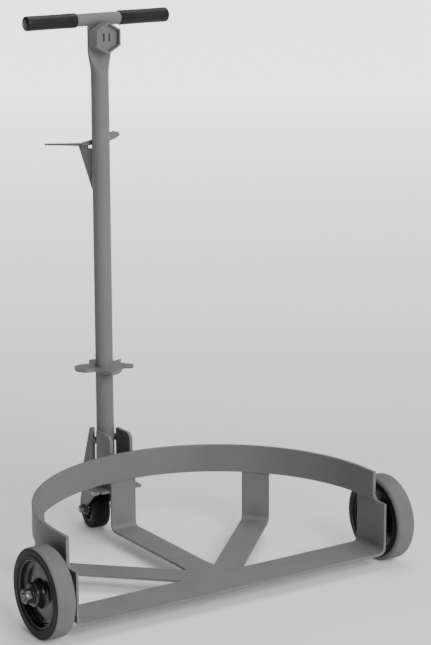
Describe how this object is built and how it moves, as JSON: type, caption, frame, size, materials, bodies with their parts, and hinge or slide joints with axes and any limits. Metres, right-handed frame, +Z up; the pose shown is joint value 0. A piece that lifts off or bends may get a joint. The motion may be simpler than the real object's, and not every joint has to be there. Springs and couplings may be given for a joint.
{
  "type": "drum dolly",
  "caption": "Low-profile steel drum dolly: half-hoop cradle on a low base bar and straps, outboard wheels, rear swivel caster, lift-off T-handle with drum tools.",
  "frame": {"origin": "on the floor under the middle of the whole object's bounding box", "axes": "+Z up, +Y from the open front of the hoop back towards the handle, +X to the right of someone who faces the handle from the open front"},
  "size_m": [0.762, 0.557, 0.9564],
  "materials": {
    "frame_paint": "satin grey powder coat",
    "zinc_steel": "bright zinc plate",
    "grey_rubber": "matt non-marking grey",
    "black_rubber": "matt",
    "grip_rubber": "satin",
    "black_hub": "glossy",
    "bronze": "sintered, oiled"
  },
  "bodies": {
    "frame": {"hoop_band": "frame_paint", "base_bar": "frame_paint", "strap_right": "frame_paint", "strap_center": "frame_paint", "strap_left": "frame_paint", "ear_left": "frame_paint", "ear_right": "frame_paint", "caster_mount_plate": "frame_paint", "handle_spigot": "frame_paint", "axle_left": "zinc_steel", "axle_right": "zinc_steel", "axle_collar_left": "zinc_steel", "axle_collar_right": "zinc_steel", "axle_washer_left": "zinc_steel", "axle_washer_right": "zinc_steel", "axle_nut_left": "zinc_steel", "axle_nut_right": "zinc_steel", "caster_plate": "zinc_steel", "caster_kingpin": "zinc_steel", "caster_bolt_1": "zinc_steel", "caster_bolt_2": "zinc_steel", "caster_bolt_3": "zinc_steel", "caster_bolt_4": "zinc_steel", "caster_nut_1": "zinc_steel", "caster_nut_2": "zinc_steel", "caster_nut_3": "zinc_steel", "caster_nut_4": "zinc_steel"},
    "wheel_left": {"tyre_left": "grey_rubber", "hub_left": "black_hub", "bushing_left": "bronze"},
    "wheel_right": {"tyre_right": "grey_rubber", "hub_right": "black_hub", "bushing_right": "bronze"},
    "caster_swivel": {"caster_fork": "zinc_steel", "caster_ball_race": "zinc_steel", "caster_axle_bolt": "zinc_steel", "caster_axle_nut": "zinc_steel"},
    "caster_wheel": {"caster_tread": "black_rubber", "caster_core": "black_hub", "caster_bushing": "zinc_steel"},
    "handle": {"post_tube": "frame_paint", "t_bar": "frame_paint", "grip_left": "grip_rubber", "grip_right": "grip_rubber", "wrench_head": "frame_paint", "seal_blade": "frame_paint", "blade_gusset": "frame_paint", "pry_lug": "frame_paint", "lug_plate": "frame_paint", "cross_pin": "zinc_steel"}
  },
  "joints": [
    {"name": "left_wheel_spin", "type": "hinge", "parent": "frame", "child": "wheel_left", "pos_m": [-0.3404, -0.20232, 0.0762], "axis": [1, 0, 0], "continuous": true},
    {"name": "right_wheel_spin", "type": "hinge", "parent": "frame", "child": "wheel_right", "pos_m": [0.3404, -0.20232, 0.0762], "axis": [1, 0, 0], "continuous": true},
    {"name": "caster_swivel_turn", "type": "hinge", "parent": "frame", "child": "caster_swivel", "pos_m": [0, 0.19568, 0.088], "axis": [0, 0, 1], "continuous": true},
    {"name": "caster_wheel_spin", "type": "hinge", "parent": "caster_swivel", "child": "caster_wheel", "pos_m": [0.00445, 0.22737, 0.0381], "axis": [0.9903, -0.1392, 0], "continuous": true},
    {"name": "handle_lift", "type": "slide", "parent": "frame", "child": "handle", "axis": [0, 0, 1], "range_m": [0, 0.15]}
  ]
}
